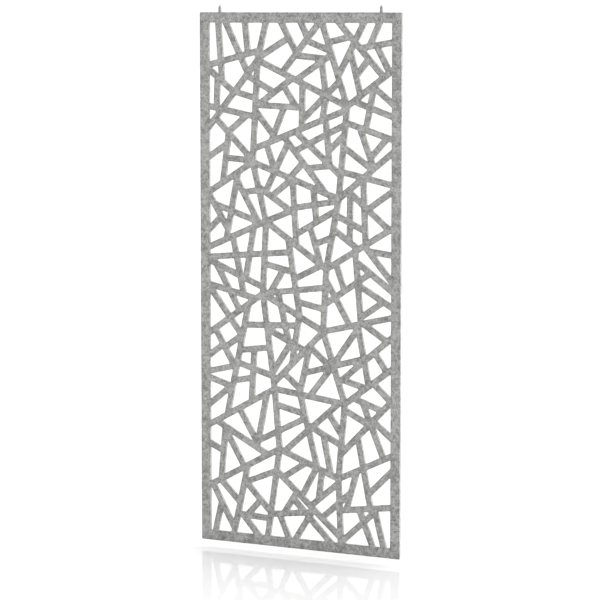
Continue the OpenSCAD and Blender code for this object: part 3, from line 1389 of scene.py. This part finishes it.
    def base_stud(self) -> Object:
        """Makes the hexagon, its plug above and its threaded stud below.

        Returns:
            The piece.
        """
        plug_r = self.bore_r - self.plug_gap
        corner = self.hex_af / 2 / math.cos(math.pi / 6)
        face_r = self.hex_af / 2 - self.hex_in
        neck_r = self.stud_r - self.neck_in
        low, high = self.hex_end, self.barrel_end
        start, stop = self.stud_end + self.tip_h, low - self.thread_gap
        count = int((stop - start) / self.pitch * 8)
        profile = [(0.0, self.stud_end), (self.stud_r - self.tip_in, self.stud_end)]
        profile += [(self.stud_r, z) for z in np.linspace(start, stop, count)]
        profile += [(neck_r, low - self.neck_h), (neck_r, low), (face_r, low)]
        swing = (1 - np.cos(np.linspace(0, math.pi, 25))) / 2
        profile += [(corner, z) for z in low + (high - low) * swing]
        profile += [(face_r, high), (plug_r, high), (plug_r, self.plug_top), (0.0, self.plug_top)]
        turned = Turned(profile, soft=0.02, ends=Ends.CAPPED)
        name = self.named("base_stud_turned")
        piece = turned.made(name, self.x, self.finishes.steel, self.hexed_and_threaded)
        foot = (0, 0, self.outlet_z - self.entry_r)
        well = self.rod(foot, (0, 0, self.plug_top + 1), self.entry_r + self.well_gap)
        cut_with(piece, [well, self.outlet()])
        return self.placed(piece, "base_stud")

    def hexed_and_threaded(self, radius: FloatArray, height: FloatArray, turn: FloatArray) -> FloatArray:
        """Gives the hexagon's and the thread's radius.

        Round the hexagon the radius is the flats' distance over the cosine of
        the angle from the nearest flat's middle, cut by a 30 degree cone at
        both faces. On the thread it swings by half the thread's depth in a
        wave that climbs one pitch with each turn and runs out at both ends.

        Args:
            radius: radius of each point.
            height: its height.
            turn: its angle round the axis.

        Returns:
            The new radius of each point.
        """
        low, high = self.hex_end, self.barrel_end
        sixth = math.pi / 3
        from_flat = (turn + sixth / 2) % sixth - sixth / 2
        flat = self.hex_af / 2 / np.cos(from_flat)
        face = np.minimum(height - low, high - height)
        cone = self.hex_af / 2 - self.cone_in + np.clip(face, 0, None) / math.tan(math.radians(30))
        hexed = np.minimum(np.minimum(flat, cone), radius)
        cut = self.thread_half * self.pitch * (1 + np.cos(2 * math.pi * height / self.pitch - turn))
        from_tip = np.clip((height - self.stud_end) / self.fade_tip, 0, 1)
        from_neck = np.clip((low - self.fade_gap - height) / self.fade_neck, 0, 1)
        threaded = radius - cut * (from_tip * from_neck)
        on_hex = (height >= low) & (height <= high) & (radius > self.bore_r - self.plug_gap + 0.2)
        on_thread = (height < low - 0.2) & (radius > self.stud_r - 0.1)
        return np.where(on_hex, hexed, np.where(on_thread, threaded, radius))

    def barrel(self) -> Object:
        """Makes the barrel with its gripping cone and the tail's outlet.

        Two shallow grooves run round it, and its upper end is bevelled.

        Returns:
            The piece.
        """
        outer, top, end = self.barrel_r, self.barrel_top, self.barrel_end
        profile = [
            (self.guide_r, top),
            (outer - self.barrel_bevel, top),
            (outer, top - self.barrel_bevel),
            *self.groove(top - self.groove_drop),
            *self.groove(end + self.groove_rise),
            (outer, end + self.barrel_soft),
            (outer - self.barrel_soft, end),
            (self.bore_r, end),
            (self.bore_r, self.cone_end),
            (self.guide_r, self.cone_top),
        ]
        piece = Turned(profile, soft=0.12).made(self.named("barrel_turned"), self.x, self.finishes.nickel)
        cut_with(piece, [self.outlet()])
        return self.placed(piece, "barrel")

    def groove(self, middle: float) -> Profile:
        """Gives the profile of a shallow groove, from above downwards.

        Args:
            middle: height of its middle.

        Returns:
            Its four corners.
        """
        outer, half, deep = self.barrel_r, self.groove_half, self.groove_deep
        return [
            (outer, middle + half),
            (outer - deep, middle + half - deep),
            (outer - deep, middle - half + deep),
            (outer, middle - half),
        ]

    def nipple(self) -> Object:
        """Makes the release nipple: ribbed head, guide, ball cage and flange.

        Returns:
            The piece.
        """
        r, end, flange_top = self.head_r, self.nipple_end, self.nipple_end + self.flange_t
        profile = [
            (self.entry_r + self.entry_bevel, 0.0),
            (r - self.head_bevel, 0.0),
            (r, -self.head_bevel),
            *[(r, z) for z in np.linspace(-self.head_bevel - 0.15, self.head_end + 0.35, 5)],
            (r, self.head_end + self.head_soft),
            (r - self.head_soft, self.head_end),
            (self.cage_r, self.head_end),
            (self.cage_r, flange_top),
            (self.flange_r, flange_top),
            (self.flange_r, end),
            (self.entry_r + self.tail_bevel, end),
            (self.entry_r, end + self.tail_bevel),
            (self.entry_r, -self.entry_bevel),
        ]
        turned = Turned(profile, soft=0.1, around=4 * self.ribs)
        piece = turned.made(self.named("nipple_turned"), self.x, self.finishes.nickel, self.ribbed)
        middle, far = (0, 0, self.ball_z), self.seat_len
        ways = [(far * math.cos(a), far * math.sin(a), self.ball_z) for a in self.ball_turns()]
        cut_with(piece, [self.rod(middle, way, self.ball_r + self.seat_gap) for way in ways])
        return self.placed(piece, "nipple")

    def ribbed(self, radius: FloatArray, height: FloatArray, turn: FloatArray) -> FloatArray:
        """Gives the head the fine ribs that a finger pushes on.

        The head's radius swings with the angle, once for each rib, and the
        swing fades out at the head's two bevels.

        Args:
            radius: radius of each point.
            height: its height.
            turn: its angle round the axis.

        Returns:
            The new radius of each point.
        """
        above = np.clip((-height - self.head_bevel) / self.rib_fade, 0, 1)
        below = np.clip((height - self.head_end - self.head_soft) / self.rib_fade, 0, 1)
        rib = self.rib_deep * (1 - np.abs(np.cos(self.ribs / 2 * turn)))
        return np.where(radius > self.head_r - 0.05, radius - rib * (above * below), radius)

    def ball_turns(self) -> FloatArray:
        """Gives the angles at which the balls stand, the first at the back."""
        return math.pi / 2 + turns_of(self.balls)

    def ball_set(self) -> Object:
        """Makes the gripping balls in one piece.

        A ball's point at polar angle a and turn b lies at (sin a cos b,
        sin a sin b, cos a) times its radius from the ball's middle.

        Returns:
            The piece.
        """
        rings, around = 15, 32
        polar = np.linspace(0, math.pi, rings + 2)[1:-1]
        a, b = np.meshgrid(polar, turns_of(around), indexing="ij")
        shell = np.stack([np.sin(a) * np.cos(b), np.sin(a) * np.sin(b), np.cos(a)], -1).reshape(-1, 3)
        shell = np.vstack([[0, 0, 1], shell, [0, 0, -1]]) * self.ball_r
        rows = 1 + np.arange(rings * around).reshape(rings, around)
        turns, level = self.ball_turns(), np.full(self.balls, self.ball_z)
        middles = np.stack([self.ball_ring * np.cos(turns), self.ball_ring * np.sin(turns), level], -1)
        points = (middles[:, None] + shell[None]).reshape(-1, 3) * MM + [self.x, 0, 0]
        shift = (np.arange(self.balls) * len(shell))[:, None, None]
        groups = capped_faces(rows, len(shell) - 1)
        faces = [(group[None] + shift).reshape(-1, group.shape[1]) for group in groups]
        piece = new_object(self.named("gripping_balls"), points, faces, self.finishes.ball)
        return self.placed(piece, "balls")

    def spring(self) -> Object:
        """Makes the spring: a round wire carried along a helix with closed ends.

        The climb is slow over the first and last half turn, so the end turns
        lie nearly flat, as a closed spring's do.

        Returns:
            The piece.
        """
        steps, around = 36, 14
        low = self.plug_top + self.wire_r + self.spring_gap
        high = self.nipple_end - self.wire_r - self.spring_gap
        share = np.linspace(0, 1, self.turns * steps + 1)
        flat = 0.5 / self.turns
        climb = np.clip((share - flat) / (1 - 2 * flat), 0, 1)
        height = low + (high - low) * (self.shares[0] * climb + self.shares[1] * share)
        turn = (share * self.turns * 2 * math.pi)[:, None]
        side = turns_of(around)[None]
        radius = self.coil_r + self.wire_r * np.cos(side)
        lift = height[:, None] + self.wire_r * np.sin(side)
        points = np.stack([radius * np.cos(turn), radius * np.sin(turn), lift], -1).reshape(-1, 3)
        number = np.arange(len(points)).reshape(-1, around)
        faces = [ring_faces(number), number[:1, ::-1], number[-1:]]
        piece = new_object(self.named("spring_wire"), points * MM + [self.x, 0, 0], faces, self.finishes.wire)
        self.placed(piece, "spring")
        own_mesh(piece)
        return piece

    def anchor(self) -> Object:
        """Gives the drawn anchor block its sawn aluminium.

        Returns:
            The block.
        """
        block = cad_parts[self.named("anchor")]
        block.data.materials.clear()
        block.data.materials.append(self.finishes.block)
        return block


# ------------------------------------------------------------------ studio


@dataclass(frozen=True)
class SoftLight:
    """A large soft light that the camera doesn't see.

    Attributes:
        name: its name.
        place: where it hangs.
        target: where it points.
        size: its width and height.
        power: its power, in watts.
    """

    name: str
    place: tuple[float, float, float]
    target: tuple[float, float, float]
    size: tuple[float, float]
    power: float

    def made(self) -> Object:
        """Hangs the light.

        Returns:
            The light's object.
        """
        light = bpy.data.lights.new(self.name, "AREA")
        light.shape = "RECTANGLE"
        light.size, light.size_y = self.size
        light.energy = self.power
        lamp = bpy.data.objects.new(self.name, light)
        lamp.location = self.place
        lamp.rotation_mode = "QUATERNION"
        lamp.rotation_quaternion = (Vector(self.target) - Vector(self.place)).to_track_quat("-Z", "Y")
        lamp.visible_camera = False
        bpy.context.scene.collection.objects.link(lamp)
        return lamp


@dataclass
class Studio:
    """Plain pale floor, soft lights and the camera.

    Attributes:
        floor_z: height of the floor, a little below the panel.
        floor_r: radius of the floor.
        floor_rings: rings of points in the floor.
        floor_sides: points in each ring.
        floor_half: how far to each side of the panel's middle its shade changes.
        floor_levels: how light the floor is on the left and on the right; the paler left is painted light
            over the panel's shadow.
        polish: how far it is polished on the left and on the right.
        polish_rough: how dull the polish is.
        polish_front: depths between which the polish comes up, to the panel.
        polish_back: depths between which it goes again behind the panel.
        eye: place of the camera.
        yaw: direction that it looks in, in degrees left of straight ahead.
        pitch: how far it looks up, in degrees.
        lens: focal length for a picture as wide as the sensor, in millimetres.
        sensor: width of the sensor, in millimetres.
        reach: nearest and farthest that the camera sees.
        even_light: light from everywhere.
        right_light: light from the right.
        right_held: how much of it is held back from mirror reflections.
        ceiling_light: light from straight above.
        backdrop_light: light from behind the panel.
        backdrop_edge: height and softness of the backdrop's limit.
        seen_light: what the camera sees past the floor.
        soft_lights: the lamps.
    """

    floor_z: float = -2.459
    floor_r: float = 90.0
    floor_rings: int = 24
    floor_sides: int = 64
    floor_half: float = 0.55
    floor_levels: tuple[float, float] = (0.735, 0.7)
    polish: tuple[float, float] = (0.182, 0.172)
    polish_rough: float = 0.045
    polish_front: tuple[float, float] = (-2.6, 0.3)
    polish_back: tuple[float, float] = (0.2, 1.2)
    eye: tuple[float, float, float] = (5.285, -10.1952, -0.0073)
    yaw: float = 27.387
    pitch: float = -6.4389
    lens: float = 155.702
    sensor: float = 36.0
    reach: tuple[float, float] = (0.1, 300.0)
    even_light: float = 0.33
    right_light: float = 4.5
    right_held: float = 3.4
    ceiling_light: float = 0.85
    backdrop_light: float = 1.4
    backdrop_edge: tuple[float, float] = (0.6, 0.2)
    seen_light: float = 1.05
    soft_lights: tuple[SoftLight, ...] = (
        SoftLight("side_light", (5.2, -0.6, -0.9), (0.0, 0.0, -1.2), (2.6, 3.4), 40.0),
        SoftLight("front_light", (1.5, -7.5, 1.8), (0.0, 0.0, -1.1), (4.0, 3.0), 30.0),
    )

    def build(self) -> list[bpy.types.ID]:
        """Sets up the floor, the lights, the surroundings and the camera.

        Returns:
            All of them.
        """
        bpy.context.scene.view_settings.view_transform = "Standard"
        bpy.context.scene.view_settings.look = "None"
        floor = self.floor()
        lamps = [light.made() for light in self.soft_lights]
        return [floor, *lamps, self.surroundings(), self.camera()]

    def floor(self) -> Object:
        """Makes a round floor whose rings widen outwards.

        Returns:
            The floor's object.
        """
        rings = np.geomspace(0.5, self.floor_r, self.floor_rings)
        radius, angle = np.meshgrid(rings, turns_of(self.floor_sides), indexing="ij")
        level = np.full_like(radius, self.floor_z)
        points = np.stack([radius * np.cos(angle), radius * np.sin(angle), level], -1)
        points = np.vstack([[[0, 0, self.floor_z]], points.reshape(-1, 3)])
        rows = 1 + np.arange(radius.size).reshape(radius.shape)
        fan = np.stack([np.zeros_like(rows[0]), rows[0], np.roll(rows[0], -1)], -1)
        faces = [ring_faces(rows), fan]
        floor = new_object("studio_floor", points, faces, self.floor_finish(), closed=False)
        return floor

    def floor_finish(self) -> Material:
        """Makes the floor satin white, with painted light that makes it a little paler on the left, where the
        panel's shadow falls.

        It is polished where the panel hangs: the polish fades out in front and
        behind, and it is weaker on the right.

        Returns:
            The material.
        """
        n = Surface("pale_floor")
        n.bumped((n.noise(30, 3), 0.2 * MM, 0.1))
        place = n.add("SeparateXYZ", {"Vector": n.coordinates}).outputs
        half = self.floor_half
        left, right = (grey(level) for level in self.floor_levels)
        # painted light: the floor is made paler on the left, to lift the panel's shadow there
        pale = n.mixed(n.ramp(place["X"], -half, half, 0.0, 1.0), left, right)
        n.set(Base_Color=pale, Roughness=0.7, Specular_IOR_Level=0.1)
        before = n.ramp(place["Y"], *self.polish_front, 0.0, 1.0)
        behind = n.ramp(place["Y"], *self.polish_back, 1.0, 0.0)
        share = n.product(before, behind, n.ramp(place["X"], -half, half, *self.polish))
        gloss = n.add("BsdfGlossy", {"Color": (1, 1, 1, 1), "Roughness": self.polish_rough})
        blend = n.add("MixShader", {0: share, 1: n.shader.outputs[0], 2: gloss.outputs[0]})
        output = next(node for node in n.tree.nodes if node.type == "OUTPUT_MATERIAL")
        n.feed(output.inputs["Surface"], blend.outputs[0])
        return n.material

    def surroundings(self) -> bpy.types.World:
        """Makes a white studio: soft box on the right, lit ceiling and backdrop.

        What the camera sees straight on is plain white. The light that comes
        from a direction (x, y, z) is an even part, plus the cube of x on the
        right, plus z above the floor, plus a backdrop where y is large.

        Returns:
            The world.
        """
        world = bpy.data.worlds.new("white_studio")
        world.use_nodes = True
        bpy.context.scene.world = world
        n = Nodes(world.node_tree)
        shell = world.node_tree.nodes["Background"]
        way = n.add("SeparateXYZ", {0: n.add("TexCoord").outputs["Generated"]}).outputs
        path = n.add("LightPath").outputs
        right = n.math("POWER", n.math("MAXIMUM", way["X"], 0.0), 3.0)
        above = n.math("MAXIMUM", way["Z"], 0.0)
        behind = n.math("SMOOTH_MIN", n.math("MAXIMUM", way["Y"], 0.0), *self.backdrop_edge)
        right_level = n.math("MULTIPLY_ADD", path["Is Glossy Ray"], -self.right_held, self.right_light)
        level = n.math("MULTIPLY_ADD", right, right_level, self.even_light)
        level = n.math("MULTIPLY_ADD", above, self.ceiling_light, level)
        level = n.math("MULTIPLY_ADD", behind, self.backdrop_light, level)
        seen = n.add("Mix", {0: path["Is Camera Ray"], 2: level, 3: self.seen_light})
        n.feed(shell.inputs["Strength"], seen.outputs[0])
        n.feed(shell.inputs["Color"], (1, 1, 1, 1))
        return world

    def camera(self) -> Object:
        """Stands the camera at the photograph's viewing angle.

        Returns:
            The camera.
        """
        lens = bpy.data.cameras.new("camera")
        lens.lens = self.lens
        lens.sensor_width = self.sensor
        lens.clip_start, lens.clip_end = self.reach
        camera = bpy.data.objects.new("camera", lens)
        camera.location = self.eye
        camera.rotation_euler = (math.radians(90 + self.pitch), 0, math.radians(self.yaw))
        bpy.context.scene.collection.objects.link(camera)
        bpy.context.scene.camera = camera
        return camera


# -------------------------------------------------------------------- main


def report(name: str, pieces: Sequence[bpy.types.ID]) -> None:
    """Logs each piece of a sub-assembly with its number of faces.

    Args:
        name: name of the sub-assembly.
        pieces: its pieces.
    """
    for piece in pieces:
        mesh = getattr(piece, "data", None)
        count = len(mesh.polygons) if isinstance(mesh, bpy.types.Mesh) else 0
        log.info("%s: %s, %d faces", name, piece.name, count)


def main() -> None:
    """Builds the divider and the studio, piece by piece."""
    logging.basicConfig(level=logging.INFO, format="%(name)s %(message)s")
    report("studio", Studio().build())
    finishes = Finishes.made()
    report("panel", LatticePanel(finishes).build())
    for side in Side:
        report(f"{side.value} gripper", Gripper(finishes, side).build())


if __name__ == "__main__":
    main()
